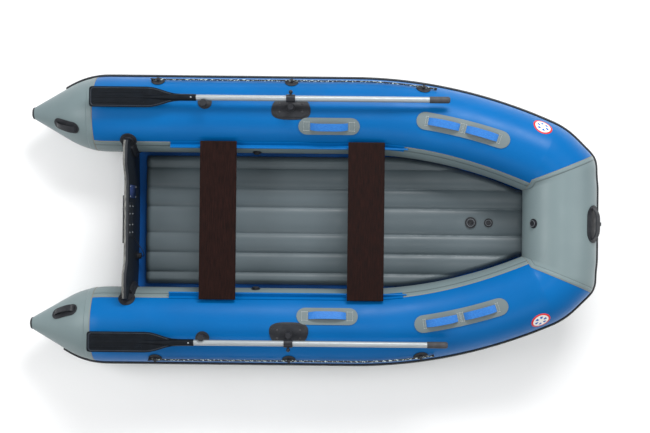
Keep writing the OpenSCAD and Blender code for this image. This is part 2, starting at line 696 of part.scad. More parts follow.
module port_oar_blade() {
  w = blade_width / 2;
  n = shaft_r + 3;
  taper = blade_length * 0.36;
  outline = concat(
    [[0, -w + 14], [4, -w + 4], [14, -w], [blade_length - taper, -w]],
    [for (i = [1:5]) [blade_length - taper + taper * i / 6, -n - (w - n) * (0.5 + 0.5 * cos(30 * i))]],
    [[blade_length + 4, -n]]
  );
  color(black) {
    translate([blade_tip_x, oar_y, oar_z - blade_thickness / 2]) linear_extrude(blade_thickness)
      polygon(concat(outline, [for (i = [len(outline) - 1:-1:0]) [outline[i][0], -outline[i][1]]]));
    for (k = [-1, 0, 1])
      translate([blade_tip_x + 24, oar_y + k * w * 0.5 - 4, oar_z - blade_thickness / 2 - 3])
      cube([blade_length - taper - 40 + 20 * (1 - abs(k)), 8, blade_thickness + 6]);
    translate([blade_tip_x + blade_length * 0.5, oar_y, oar_z]) rotate([0, 90, 0])
      cylinder(r1 = 5, r2 = shaft_r + 3, h = blade_length * 0.5, $fn = 64);
    along_oar(socket_x, shaft_r + 3, socket_length);
  }
}
module starboard_oar_shaft() {
  mirror([0, 1, 0]) port_oar_shaft();
}
module starboard_oar_collar() {
  mirror([0, 1, 0]) port_oar_collar();
}
module starboard_oar_grip() {
  mirror([0, 1, 0]) port_oar_grip();
}
module starboard_oar_blade() {
  mirror([0, 1, 0]) port_oar_blade();
}

// Oar clips: a post inboard of the stowed shaft with a wide head
clip_x = oarlock_x - clip_setback;
clip_post_r = 11;
clip_base_d = 77;
clip_y = oar_y - shaft_r - 1.5 - clip_post_r;
module oar_clips() {
  color(black) both_sides() difference() {
    union() {
      intersection() {
        translate([clip_x - clip_base_d, axis_y, tube_r]) rotate([0, 90, 0])
          cylinder(r = tube_r + 6, h = clip_base_d * 2, $fn = 96);
        translate([clip_x, axis_y, tube_r]) rotate([-asin((clip_y + 10 - axis_y) / tube_r), 0, 0])
          cylinder(d = clip_base_d, h = tube_r + 20, $fn = 64);
      }
      translate([clip_x, clip_y, tube_d - 40])
        cylinder(r = clip_post_r, h = oar_z + shaft_r + 4 - tube_d + 40, $fn = 64);
      translate([clip_x, clip_y, oar_z + shaft_r + 2]) cylinder(r = clip_post_r + 7, h = 7, $fn = 64);
    }
    translate([clip_x - clip_base_d, axis_y, tube_r]) rotate([0, 90, 0])
      cylinder(r = tube_r + seat_gap, h = clip_base_d * 2, $fn = 96);
  }
}

// Lifelines
line_xs = [oarlock_x - lifeline_aft_run, oarlock_x, bend_x + lifeline_forward_run];
line_r = lifeline_d / 2;
line_height = line_r + 7;
module lifeline_patches() {
  color(black) both_sides() for (x = line_xs) {
    side_patch(x, lifeline_angle, lifeline_patch_d, lifeline_patch_d, 1, 5);
    on_skin(side_station(x), lifeline_angle, line_height) rotate([0, 90, 0]) difference() {
      cylinder(r = line_r + 6, h = 14, center = true, $fn = 48);
      cylinder(r = line_r + 1.6, h = 20, center = true, $fn = 48);
    }
  }
}
line_tail = 34;
line_rows = concat([line_xs[0] - line_tail, line_xs[0], line_xs[1], bend_x],
  [for (i = [1:6]) bend_x + (line_xs[2] - bend_x) * i / 6], [line_xs[2] + line_tail]);
function line_ring(s) = [for (i = [0:11]) let (a = 30 * i, o = line_r * cos(a), t = line_r * sin(a))
  skin_point(s, lifeline_angle, line_height + o)
    + t * [cos(lifeline_angle) * sin(s[3]), cos(lifeline_angle) * cos(s[3]), -sin(lifeline_angle)]];
module lifelines() {
  color(black) both_sides() {
    loft([for (x = line_rows) line_ring(side_station(x))]);
    for (x = [line_rows[0], line_xs[2] + line_tail])
      translate(skin_point(side_station(x), lifeline_angle, line_height))
      sphere(r = line_r + 1.5, $fn = 32);
  }
}

// Grab handles
single_x = bend_x - single_handle_setback;
single_angle = 20;
double_x = bend_x + double_handle_run;
module grab_patches() {
  color(grey) both_sides() {
    side_patch(single_x, -single_angle, single_patch_length, patch_width, 1, patch_layer);
    side_patch(double_x, -2, double_patch_length, patch_width, 1, patch_layer);
  }
}
module grab_straps() {
  foot = patch_layer + 0.4;
  color(blue) both_sides() {
    side_strap(single_x, -single_angle, 206, webbing_width, foot, finger_gap, strap_layer);
    for (k = [-1, 1]) side_strap(double_x + k * 102, -2, 168, webbing_width, foot, finger_gap, strap_layer);
  }
}

// Bow handle with towing eye
bow_handle_angle = 52;
eye_half = 10;
eye_r = tow_eye_d / 2 + 7.5;
eye_x = overall_length / 2 - eye_r;
eye_z = bow_axis_z + strake_height / 2 + eye_r + 5;
module bow_handle() {
  color(black) {
    bow_patch(bow_handle_angle, 204, 116, 1, 6);
    bow_strap(bow_handle_angle - 4, 170, 30, 6.4, 26, 8);
    difference() {
      union() {
        translate([eye_x - 66, -eye_half, eye_z - eye_r]) cube([66, eye_half * 2, eye_r * 2]);
        translate([eye_x, eye_half, eye_z]) rotate([90, 0, 0])
          cylinder(r = eye_r, h = eye_half * 2, $fn = 64);
      }
      translate([bow_axis_x, 40, bow_axis_z]) rotate([90, 0, 0]) cylinder(r = bow_r + seat_gap, h = 80, $fn = 96);
      translate([eye_x, 40, eye_z]) rotate([90, 0, 0]) cylinder(d = tow_eye_d, h = 80, $fn = 64);
    }
  }
}

port_side_tube();
starboard_side_tube();
port_bow_quarter();
starboard_bow_quarter();
bow_tube();
port_stern_cone();
starboard_stern_cone();
cone_caps();
cone_handles();
rub_strake();
hull_bottom();
keel_strip();
air_floor();
floor_valve();
relief_valve();
side_valves();
bow_valve();
transom_board();
transom_holders();
outer_motor_pad();
inner_motor_plate();
drain_valve();
seat_rails();
oarlock_bases();
oar_clips();
lifeline_patches();
lifelines();
grab_patches();
grab_straps();
bow_handle();
aft_seat_board();
aft_seat_runners();
forward_seat_board();
forward_seat_runners();
port_oarlock_head();
port_oar_collar();
port_oar_shaft();
port_oar_blade();
port_oar_grip();
starboard_oarlock_head();
starboard_oar_collar();
starboard_oar_shaft();
starboard_oar_blade();
starboard_oar_grip();
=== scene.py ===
"""Looks of the inflatable boat: smooth air tubes, ribbed air floor, fittings, ropes and webbing.

Everything is in metres, in the part's own frame: +X to the bow, +Y to port, +Z up.
"""
import math

import bpy
import bmesh
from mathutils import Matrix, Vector


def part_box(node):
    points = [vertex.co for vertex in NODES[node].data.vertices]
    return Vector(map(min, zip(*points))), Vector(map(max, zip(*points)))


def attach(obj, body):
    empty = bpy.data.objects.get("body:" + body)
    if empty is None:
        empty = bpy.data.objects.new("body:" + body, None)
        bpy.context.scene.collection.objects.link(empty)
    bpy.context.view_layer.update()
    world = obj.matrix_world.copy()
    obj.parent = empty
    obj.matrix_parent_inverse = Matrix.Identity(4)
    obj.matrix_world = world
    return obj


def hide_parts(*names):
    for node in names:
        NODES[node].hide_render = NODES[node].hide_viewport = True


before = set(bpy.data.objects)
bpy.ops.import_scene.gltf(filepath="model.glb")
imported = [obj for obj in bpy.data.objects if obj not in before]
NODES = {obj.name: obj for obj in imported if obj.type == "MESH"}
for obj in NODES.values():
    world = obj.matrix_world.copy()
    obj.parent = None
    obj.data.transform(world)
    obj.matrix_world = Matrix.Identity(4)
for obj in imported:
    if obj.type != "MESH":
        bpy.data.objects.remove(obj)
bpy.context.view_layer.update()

# Driving sizes, as in the part's source
OVERALL = 3.164
BEAM = 1.628
TUBE_R = 0.210
BOW_R = 0.201
BOW_RISE = 0.130
RISE_POWER = 2.2              # how late the tubes rise towards the bow
QUARTER = 0.927
CORNER_Y = 0.182
CORNER_BULGE = 0.020
BULGE_SKEW = 1.5              # above 1 the bulge moves towards the bow
BULGE_POWER = 6               # how narrow the bulge is
SEAM_SLOPE = 21.6             # direction of the seam between bow quarter and bow tube, in plan
SEAM_OFFSET = 0.0416          # distance of that seam from the inner bow corner
STRAKE_T = 0.014
STRAKE_H = 0.046
NOSE = 0.007
CONE_ANGLE = 30.0
SHOULDER = 0.440
CONE_END_R = 0.034
CONE_CAP = 0.014
CONE_SEAM_SETBACK = 0.066
STRAKE_CONE_RUN = 0.180
BLUE_INNER = -50.0            # angle where the blue panel ends on the side tubes, from the top, inboard
BLUE_INNER_BOW = -54.0        # the same angle at the inner bow corner
BLUE_DROP_START = 0.25        # share of the bend where that edge starts to drop
BLUE_OUTER = 90.0             # the blue panel ends at the rub strake

# Tube axis
STERN = -OVERALL / 2
BOW_X = OVERALL / 2 - NOSE - STRAKE_T - BOW_R
AXIS_Y = BEAM / 2 - STRAKE_T - TUBE_R
BOW_Z = TUBE_R + BOW_RISE
CORNER_X = BOW_X - BOW_R
BEND_X = CORNER_X - QUARTER
BEND_TURN = 2 * math.degrees(math.atan((AXIS_Y - TUBE_R - CORNER_Y) / QUARTER))
BEND_R = QUARTER / math.sin(math.radians(BEND_TURN)) + TUBE_R
SHOULDER_R = TUBE_R - SHOULDER * (1 - math.cos(math.radians(CONE_ANGLE)))
CONE_END_X = STERN + CONE_CAP
SHOULDER_X = CONE_END_X + (SHOULDER_R - CONE_END_R) / math.tan(math.radians(CONE_ANGLE))
CONE_X = SHOULDER_X + SHOULDER * math.sin(math.radians(CONE_ANGLE))
SEAM_X = CONE_X - CONE_SEAM_SETBACK


def sin(a):
    return math.sin(math.radians(a))


def cos(a):
    return math.cos(math.radians(a))


def lerp(a, b, t):
    return a + (b - a) * t


def steps(a, b, n):
    return [lerp(a, b, i / n) for i in range(n + 1)]


def cone_radius(x):
    if x >= CONE_X:
        return TUBE_R
    if x >= SHOULDER_X:
        return TUBE_R - SHOULDER + math.sqrt(SHOULDER ** 2 - (CONE_X - x) ** 2)
    return SHOULDER_R - (SHOULDER_X - x) * math.tan(math.radians(CONE_ANGLE))


# A station is one upright section of the tube: (x, y, z, heading, half width, half height)
def arc_station(h):
    rise = BOW_RISE * min(h / BEND_TURN, 1) ** RISE_POWER
    r = lerp(TUBE_R, BOW_R, (h / BEND_TURN) ** 2)
    run = BEND_R - TUBE_R + r
    return (BEND_X + run * sin(h), AXIS_Y - BEND_R + run * cos(h), TUBE_R + rise, h, r, r)


def side_station(x):
    if x <= BEND_X:
        r = cone_radius(x)
        return (x, AXIS_Y, TUBE_R, 0.0, r, r)
    return arc_station(math.degrees(math.asin((x - BEND_X) / BEND_R)))


def corner_station(h):
    t = min(1, max(0, (h - BEND_TURN) / (90 - BEND_TURN)))
    half = BOW_R + CORNER_BULGE / 2 * sin(180 * t ** BULGE_SKEW) ** BULGE_POWER
    return (CORNER_X + half * sin(h), CORNER_Y + half * cos(h), BOW_Z, h, half, BOW_R)


def bow_station(y):
    return (BOW_X, y, BOW_Z, 90.0, BOW_R, BOW_R)


def flip(s):
    return (s[0], -s[1], s[2], 180 - s[3], s[4], s[5])


def skin_point(s, a, d=0.0):
    """Point on a section: angle from the top, positive outboard, and height above the skin."""
    return Vector((s[0] + (s[4] + d) * sin(a) * sin(s[3]),
                   s[1] + (s[4] + d) * sin(a) * cos(s[3]),
                   s[2] + (s[5] + d) * cos(a)))


# Materials
def linear(hex_colour):
    def one(v):
        v /= 255
        return v / 12.92 if v <= 0.04045 else ((v + 0.055) / 1.055) ** 2.4
    return tuple(one(int(hex_colour[i:i + 2], 16)) for i in (1, 3, 5)) + (1.0,)


class Graph:
    """A small helper around one material's nodes."""

    def __init__(self, name):
        self.mat = bpy.data.materials.new(name)
        self.mat.use_nodes = True
        self.tree = self.mat.node_tree
        self.bsdf = self.tree.nodes["Principled BSDF"]
        self.coords = self.add("ShaderNodeTexCoord").outputs["Object"]

    def add(self, kind, **inputs):
        node = self.tree.nodes.new(kind)
        for key, value in inputs.items():
            node.inputs[key.replace("_", " ")].default_value = value
        return node

    def link(self, a, b):
        self.tree.links.new(a, b)

    def noise(self, scale, detail=3.0, stretch=(1, 1, 1)):
        mapping = self.add("ShaderNodeMapping")
        mapping.inputs["Scale"].default_value = stretch
        self.link(self.coords, mapping.inputs["Vector"])
        node = self.add("ShaderNodeTexNoise", Scale=scale, Detail=detail)
        self.link(mapping.outputs["Vector"], node.inputs["Vector"])
        return node.outputs["Fac"]

    def spread(self, fac, low, high, start=0.3, end=0.7):
        node = self.add("ShaderNodeMapRange")
        for key, value in (("From Min", start), ("From Max", end), ("To Min", low), ("To Max", high)):
            node.inputs[key].default_value = value
        self.link(fac, node.inputs["Value"])
        return node.outputs["Result"]

    def mix(self, fac, a, b):
        node = self.add("ShaderNodeMix")
        node.data_type = "RGBA"
        self.link(fac, node.inputs["Factor"])
        for value, socket in ((a, node.inputs[6]), (b, node.inputs[7])):
            if isinstance(value, tuple):
                socket.default_value = value
            else:
                self.link(value, socket)
        return node.outputs[2]

    def bump(self, height, strength, distance, below=None):
        node = self.add("ShaderNodeBump", Strength=strength, Distance=distance)
        self.link(height, node.inputs["Height"])
        if below is not None:
            self.link(below, node.inputs["Normal"])
        return node.outputs["Normal"]

    def finish(self, colour, rough, normal=None, metallic=0.0, specular=0.5):
        b = self.bsdf.inputs
        for value, socket in ((colour, b["Base Color"]), (rough, b["Roughness"])):
            if isinstance(value, (tuple, float)):
                socket.default_value = value
            else:
                self.link(value, socket)
        if normal is not None:
            self.link(normal, b["Normal"])
        b["Metallic"].default_value = metallic
        b["Specular IOR Level"].default_value = specular
        return self.mat


def coated_fabric(name, colour, shade, rough=0.38, specular=0.17):
    """Coated boat fabric: slow colour drift, soft pulls in the skin and a very fine weave."""
    g = Graph(name)
    drift = g.spread(g.noise(2.2, 4.0), 0, 1)
    base = g.mix(drift, linear(colour), linear(shade))
    gloss = g.spread(g.noise(9.0, 4.0), rough - 0.05, rough + 0.07)
    pulls = g.bump(g.noise(7.0, 2.0, (0.5, 1, 1)), 0.25, 0.004)
    weave = g.bump(g.noise(900.0, 1.0), 0.08, 0.0006, pulls)
    return g.finish(base, gloss, weave, specular=specular)


def moulded(name, colour, shade, rough=0.5, grain=420.0, depth=0.0006, specular=0.3):
    """Moulded rubber or plastic: fine grain, uneven gloss and greyed, handled places."""
    g = Graph(name)
    worn = g.spread(g.noise(26.0, 5.0), 0, 1, 0.45, 0.75)
    base = g.mix(worn, linear(colour), linear(shade))
    gloss = g.spread(g.noise(40.0, 4.0), rough - 0.1, rough + 0.1)
    return g.finish(base, gloss, g.bump(g.noise(grain, 2.0), 0.35, depth), specular=specular)


def plywood(name, colour, shade, dark):
    """Dark film-faced plywood: long grain, fine pores and a thin lacquer."""
    g = Graph(name)
    grain = g.noise(26.0, 6.0, (7, 0.6, 7))
    pores = g.noise(260.0, 2.0, (6, 0.4, 6))
    base = g.mix(g.spread(grain, 0, 1), linear(colour), linear(shade))
    base = g.mix(g.spread(pores, 0, 0.55, 0.5, 0.75), base, linear(dark))
    gloss = g.spread(grain, 0.36, 0.50)
    return g.finish(base, gloss, g.bump(pores, 0.25, 0.0005), specular=0.09)


def board_edge(name, pale, dark, border):
    """Top edge of the transom: bare ply along its outer side, dark sealing film on the rest."""
    g = Graph(name)
    place = g.add("ShaderNodeSeparateXYZ")
    g.link(g.coords, place.inputs["Vector"])
    film = g.spread(place.outputs["X"], 0, 1, border - 0.001, border + 0.001)
    plies = g.mix(g.spread(g.noise(60.0, 4.0, (8, 0.5, 1)), 0, 1), linear(pale), linear(dark))
    base = g.mix(film, plies, linear(dark))
    return g.finish(base, 0.55, g.bump(g.noise(240.0), 0.25, 0.0005), specular=0.2)


def drawn_metal(name, colour, shade):
    """Anodised drawn tube: faint lines along its length."""
    g = Graph(name)
    lines = g.noise(240.0, 3.0, (0.02, 1, 1))
    base = g.mix(g.spread(lines, 0, 1), linear(colour), linear(shade))
    gloss = g.spread(g.noise(60.0, 4.0), 0.34, 0.5)
    return g.finish(base, gloss, g.bump(lines, 0.12, 0.0004), metallic=0.35)


def webbing(name, colour, shade):
    """Woven webbing: fine cross ribs and lengthwise threads."""
    g = Graph(name)
    ribs = g.add("ShaderNodeTexWave", Scale=90.0, Distortion=0.6, Detail=1.0)
    g.link(g.coords, ribs.inputs["Vector"])
    threads = g.noise(500.0, 2.0, (0.15, 1, 1))
    base = g.mix(g.spread(threads, 0, 1), linear(colour), linear(shade))
    low = g.bump(ribs.outputs["Fac"], 0.35, 0.0008)
    return g.finish(base, g.spread(threads, 0.4, 0.62), g.bump(threads, 0.35, 0.0008, low))


BLUE = coated_fabric("boat_blue", "#0163a6", "#015b9b", 0.36, 0.14)
DEEP_BLUE = coated_fabric("boat_deep_blue", "#0957a2", "#084e94", 0.42)
GREY = coated_fabric("boat_grey", "#788789", "#6f7e81", 0.34)
FLOOR_GREY = coated_fabric("floor_grey", "#5a656a", "#505b60", 0.37, 0.29)
PATCH_GREY = coated_fabric("patch_grey", "#717c7e", "#687375", 0.5)
GLUE = coated_fabric("seam_edge", "#8d8678", "#857d70", 0.5)
TAPE_DARK = coated_fabric("seam_shadow", "#5c6668", "#566062", 0.45)
RUBBER = moulded("black_rubber", "#222429", "#2e3034", 0.5)
STRAKE = moulded("strake_rubber", "#26282b", "#34363a", 0.5)
STRAKE_LINE = moulded("strake_line", "#8f979a", "#868e92", 0.5)
PLASTIC = moulded("black_plastic", "#1c1e23", "#26282e", 0.42, 300.0)
BLADE = moulded("blade_plastic", "#0a0f15", "#11171e", 0.42, 240.0, specular=0.14)
# paler copy of the blade plastic for the blade's raised border: a painted highlight
BLADE_RIM_HIGHLIGHT = moulded("blade_rim_highlight", "#262d36", "#2f3740", 0.38, 240.0)
GRIP = moulded("grip_rubber", "#3a3a3d", "#47474a", 0.6, 380.0, 0.0012)
BROWN = plywood("bench_plywood", "#120807", "#26120e", "#0a0404")
BOARD = plywood("transom_film", "#1d2126", "#252a30", "#15181c")
ALU = drawn_metal("oar_aluminium", "#a3a9ac", "#979da0")
STEEL = drawn_metal("rivet_steel", "#a3a8ab", "#8f9497")
ROPE = moulded("rope", "#1d1f23", "#30343a", 0.62, 700.0, 0.001)
WEB = webbing("webbing_blue", "#0c5cab", "#2379c6")


def flecked_rope(name, colour, fleck):
    """Dark rope yarn with pale marker threads that show up as flecks."""
    g = Graph(name)
    marks = g.spread(g.noise(110.0, 2.0), 0, 1, 0.52, 0.57)
    base = g.mix(marks, linear(colour), linear(fleck))
    return g.finish(base, 0.62, g.bump(g.noise(700.0, 2.0), 0.4, 0.001))


FLECKED = flecked_rope("rope_flecked", "#1d1f23", "#c3d3cf")


# Mesh helpers
def new_piece(name, verts, faces, mats, face_mats=None, body="hull"):
    mesh = bpy.data.meshes.new(name)
    mesh.from_pydata([tuple(v) for v in verts], [], faces)
    for mat in mats:
        mesh.materials.append(mat)
    if face_mats:
        mesh.polygons.foreach_set("material_index", face_mats)
    mesh.polygons.foreach_set("use_smooth", [True] * len(faces))
    mesh.update()
    bm = bmesh.new()
    bm.from_mesh(mesh)
    bmesh.ops.remove_doubles(bm, verts=bm.verts, dist=1e-6)
    bmesh.ops.recalc_face_normals(bm, faces=bm.faces)
    bm.to_mesh(mesh)
    bm.free()
    obj = bpy.data.objects.new(name, mesh)
    bpy.context.scene.collection.objects.link(obj)
    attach(obj, body)
    return obj


def grid(rows, closed=False, caps=False):
    """Faces of a grid of points; rows may be closed rings, with flat caps on the first and last."""
    m = len(rows[0])
    verts = [p for row in rows for p in row]
    faces, cells = [], []
    for i in range(len(rows) - 1):
        for j in range(m if closed else m - 1):
            k = (j + 1) % m
            faces.append((i * m + j, i * m + k, (i + 1) * m + k, (i + 1) * m + j))
            cells.append((i, j))
    if caps:
        faces.append(tuple(range(m)))
        faces.append(tuple((len(rows) - 1) * m + j for j in range(m)))
        cells += [(-1, -1), (-1, -1)]
    return verts, faces, cells


def mirrored(rows):
    return [[Vector((p[0], -p[1], p[2])) for p in row] for row in rows]


def sides(name, rows, mats, pick=None, closed=False, caps=False):
    """The same piece on both sides; each name starts with port or starboard."""
    made = []
    for side in ("port", "starboard"):
        side_rows = rows if side == "port" else mirrored(rows)
        verts, faces, cells = grid(side_rows, closed, caps)
        picks = [pick(i, j) for i, j in cells] if pick else None
        made.append(new_piece(side + "_" + name, verts, faces, mats, picks))
    return made


# Edges that turn by more than this are sharp in the CAD pieces, and are softened
SHARP_ANGLE = 32
# A board's top edge: faces that look up by more than this, above this height
TOP_NORMAL_Z = 0.35
TOP_MIN_Z = 0.3


def dress(node, mat, bevel=0.0015, segments=2, body="hull", edge_mat=None):
    """A copy of a CAD node with softened edges, which stands for it."""
    mesh = NODES[node].data.copy()
    mesh.name = node + "_dressed"
    mesh.materials.clear()
    mesh.materials.append(mat)
    bm = bmesh.new()
    bm.from_mesh(mesh)
    bmesh.ops.remove_doubles(bm, verts=bm.verts, dist=2e-6)
    if bevel:
        bmesh.ops.dissolve_limit(bm, angle_limit=math.radians(1.0), verts=bm.verts, edges=bm.edges)
    bmesh.ops.recalc_face_normals(bm, faces=bm.faces)
    if edge_mat:
        mesh.materials.append(edge_mat)
    for face in bm.faces:
        on_top = face.normal.z > TOP_NORMAL_Z and face.calc_center_median().z > TOP_MIN_Z
        face.material_index = 1 if edge_mat and on_top else 0
        face.smooth = True
    for edge in bm.edges:
        edge.smooth = len(edge.link_faces) == 2 and edge.calc_face_angle(0) < math.radians(SHARP_ANGLE)
    bm.to_mesh(mesh)
    bm.free()
    obj = bpy.data.objects.new(node + "_dressed", mesh)
    bpy.context.scene.collection.objects.link(obj)
    if bevel:
        mod = obj.modifiers.new("soft_edges", "BEVEL")
        mod.width = bevel
        mod.segments = segments
        mod.limit_method = "ANGLE"
        mod.angle_limit = math.radians(SHARP_ANGLE)
        mod.harden_normals = True
    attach(obj, body)
    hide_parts(node)
    return obj


# Air tubes: one smooth skin a side, blue on top and grey inboard and below
cone_row = [side_station(x) for x in steps(CONE_END_X, SEAM_X, 30)]
shoulder_row = [side_station(x) for x in steps(SEAM_X, CONE_X, 10)]
straight_row = [side_station(x) for x in steps(CONE_X, BEND_X, 70)]
arc_row = [arc_station(h) for h in steps(0, BEND_TURN, 48)]
tube_row = shoulder_row + straight_row[1:] + arc_row[1:]
BLUE_STEPS, GREY_STEPS = 48, 64


def blue_edge(s):
    """Angle of the blue panel's inner edge, which drops down the tube towards the bow corner."""
    t = max(0, min(1, (s[3] / BEND_TURN - BLUE_DROP_START) / (1 - BLUE_DROP_START)))
    return lerp(BLUE_INNER, BLUE_INNER_BOW, t * t * (3 - 2 * t))


def ring_angles(s):
    edge = blue_edge(s)
    return steps(edge, BLUE_OUTER, BLUE_STEPS)[:-1] + steps(BLUE_OUTER, edge + 360, GREY_STEPS)[:-1]


def seam_heading(a):
    """Heading of the bow seam at an angle round the tube: the seam is straight when seen from above."""
    reach = max(BOW_R * (1 + sin(a)), SEAM_OFFSET)
    return max(BEND_TURN, math.degrees(math.acos(SEAM_OFFSET / reach)) - SEAM_SLOPE)


def corner_point(share, a):
    """Point of the bend round the bow corner: share 0 at the quarter's end, 1 at the seam."""
    return skin_point(corner_station(lerp(BEND_TURN, seam_heading(a), share)), a)


def bow_point(share, a):
    """Point of the bow tube's end: share 0 at the seam, 1 at the straight bow tube."""
    return skin_point(corner_station(lerp(seam_heading(a), 90, share)), a)


side_skin = [[skin_point(s, a) for a in ring_angles(s)] for s in cone_row + tube_row[1:]]
side_skin += [[corner_point(t, a) for a in ring_angles(tube_row[-1])] for t in steps(0, 1, 24)[1:]]


def panel(i, j):
    return 0 if i >= len(cone_row) - 1 and j < BLUE_STEPS else 1


tube_skins = sides("tube_skin", side_skin, [BLUE, GREY], panel, closed=True)
for obj, side in zip(tube_skins, ("port", "starboard")):
    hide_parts(side + "_side_tube", side + "_bow_quarter", side + "_stern_cone")

bow_angles = ring_angles(tube_row[-1])
half_bow = [[bow_point(t, a) for a in bow_angles] for t in steps(0, 1, 24)]
straight_bow = [bow_station(y) for y in steps(CORNER_Y, 0, 12)[1:]]
bow_rows = half_bow + [[skin_point(s, a) for a in bow_angles] for s in straight_bow]
bow_rows += mirrored(bow_rows[:-1])[::-1]
verts, faces, _ = grid(bow_rows, closed=True)
bow_skin = new_piece("bow_skin", verts, faces, [GREY])
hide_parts("bow_tube")


# Seam tapes and their glue lines
TAPE_SINK = 0.0006            # the edges of tapes end this far below the skin
TAPE_H, TAPE_LINE_H, GLUE_H = 0.0009, 0.0012, 0.0013
INNER_TAPE_ANGLE = 9.0        # width of the tape below the blue panel, as an angle round the tube
CONE_TAPE_W = 0.034
MITRE_TAPE_W = 0.022
RING_STEPS = 112


def along_tape(name, row, a0, a1, height, mat):
    """Tape along the blue panel's inner edge, between two angles counted from that edge."""
    rows = []
    for s in row:
        low, high = blue_edge(s) + a0, blue_edge(s) + a1
        top = [skin_point(s, a, height) for a in steps(low, high, 4)]
        rows.append([skin_point(s, low, -TAPE_SINK)] + top + [skin_point(s, high, -TAPE_SINK)])
    for obj in sides(name, rows, [mat], closed=True, caps=True):
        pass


def ring_tape(name, row, height, mat):
    edges = [(row[0], -TAPE_SINK)] + [(s, height) for s in row] + [(row[-1], -TAPE_SINK)]
    rows = [[skin_point(s, a, d) for a in steps(0, 360, RING_STEPS)] for s, d in edges]
    for obj in sides(name, rows, [mat]):
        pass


along_tape("inner_tape", tube_row, -INNER_TAPE_ANGLE, 0.0, TAPE_H, GREY)
along_tape("inner_glue_line", tube_row, -0.5, 0.4, GLUE_H, GLUE)
along_tape("inner_tape_line", tube_row, -INNER_TAPE_ANGLE - 0.6, -INNER_TAPE_ANGLE, TAPE_LINE_H,
           TAPE_DARK)
cone_tape_row = [side_station(x) for x in steps(SEAM_X - CONE_TAPE_W, SEAM_X, 6)]
cone_glue_row = [side_station(x) for x in steps(SEAM_X - 0.001, SEAM_X + 0.002, 2)]
ring_tape("cone_tape", cone_tape_row, TAPE_H, GREY)
ring_tape("cone_glue_line", cone_glue_row, GLUE_H, GLUE)

MITRE_MIN_REACH = 0.03        # keeps the tape from fanning out at the inner corner
MITRE_LAST_HEADING = 89       # the tape ends just before the straight bow tube


def mitre_point(a, w, d):
    """Point at a distance w forward of the seam between bow quarter and bow tube."""
    reach = max(BOW_R * (1 + sin(a)), MITRE_MIN_REACH)
    heading = min(seam_heading(a) + math.degrees(w / reach), MITRE_LAST_HEADING)
    return skin_point(corner_station(heading), a, d)


def mitre_tape(name, w0, w1, height, mat):
    edges = [(w0, -TAPE_SINK)] + [(w, height) for w in steps(w0, w1, 3)] + [(w1, -TAPE_SINK)]
    rows = [[mitre_point(a, w, d) for a in steps(0, 360, RING_STEPS)] for w, d in edges]
    for obj in sides(name, rows, [mat]):
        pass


mitre_tape("mitre_tape", 0.0, MITRE_TAPE_W, TAPE_H, GREY)
mitre_tape("mitre_glue_line", -0.0012, 0.0012, GLUE_H, GLUE)
mitre_tape("mitre_tape_line", MITRE_TAPE_W, MITRE_TAPE_W + 0.0016, TAPE_LINE_H, TAPE_DARK)


# Round stickers on the outer bow quarters: a plain lifebuoy, red rim on white, with a ring of blue dashes
DECAL_HEADING, DECAL_ANGLE, DECAL_R = 22.7, 46.0, 0.053
DECAL_STEPS, DECAL_DASH = 48, 4
DECAL_H, DECAL_EDGE = 0.0012, 0.0005
DECAL_RADII = [0.0005, 0.017, 0.033, 0.043, DECAL_R]
DASH_BAND, RIM_BAND = 1, 3


def decal_point(r, phi, d):
    out = BEND_R + TUBE_R * sin(DECAL_ANGLE)
    s = arc_station(DECAL_HEADING + math.degrees(r * cos(phi) / out))
    return skin_point(s, DECAL_ANGLE + math.degrees(r * sin(phi) / TUBE_R), d)


def decal_colour(band, step):
    """Index of the sticker's colour: blue dashes, white or the red rim."""
    if band == DASH_BAND and step // DECAL_DASH % 2:
        return 0
    return 2 if band >= RIM_BAND else 1


decal_turn = steps(0, 360, DECAL_STEPS)[:-1]
decal_rows = [[decal_point(r, phi, DECAL_H) for phi in decal_turn] for r in DECAL_RADII]
decal_rows.append([decal_point(DECAL_R + DECAL_EDGE, phi, -DECAL_EDGE) for phi in decal_turn])
decal_mats = [moulded("sticker_blue", "#2a62b4", "#285cab", 0.4),
              moulded("sticker_white", "#eceae6", "#e3e1dc", 0.4),
              moulded("sticker_red", "#d4302f", "#c92c2c", 0.4)]
for obj in sides("sticker", decal_rows, decal_mats, decal_colour, closed=True, caps=True):
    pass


# Rub strake: a ribbed band with one pale line on its upper face
# Upper half of its profile, as shares of the strake's thickness and height
HALF_PROFILE = [(1.0, 0.12), (0.96, 0.24), (0.74, 0.30), (0.78, 0.36), (0.70, 0.46), (0.45, 0.50),
                (0.0, 0.50)]
STRAKE_PROFILE = [(d, -z) for d, z in reversed(HALF_PROFILE)] + HALF_PROFILE
PALE_FACE = 10
STRAKE_GLUE = 0.0004


def strake_ring(s):
    out = []
    for d, z in STRAKE_PROFILE:
        w = s[4] + max(d * STRAKE_T, STRAKE_GLUE)
        out.append(Vector((s[0] + w * sin(s[3]), s[1] + w * cos(s[3]), s[2] + z * STRAKE_H)))
    return out


half_strake = [side_station(x) for x in steps(SEAM_X - STRAKE_CONE_RUN, SEAM_X, 16)] + tube_row[1:]
half_strake += [corner_station(h) for h in steps(BEND_TURN, 90, 48)[1:]]
strake_row = half_strake + [bow_station(y) for y in steps(CORNER_Y, -CORNER_Y, 24)[1:-1]]
strake_row += [flip(s) for s in reversed(half_strake)]
verts, faces, cells = grid([strake_ring(s) for s in strake_row], closed=True, caps=True)
strake_picks = [1 if j == PALE_FACE else 0 for _, j in cells]
strake = new_piece("rub_strake_band", verts, faces, [STRAKE, STRAKE_LINE], strake_picks)
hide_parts("rub_strake")


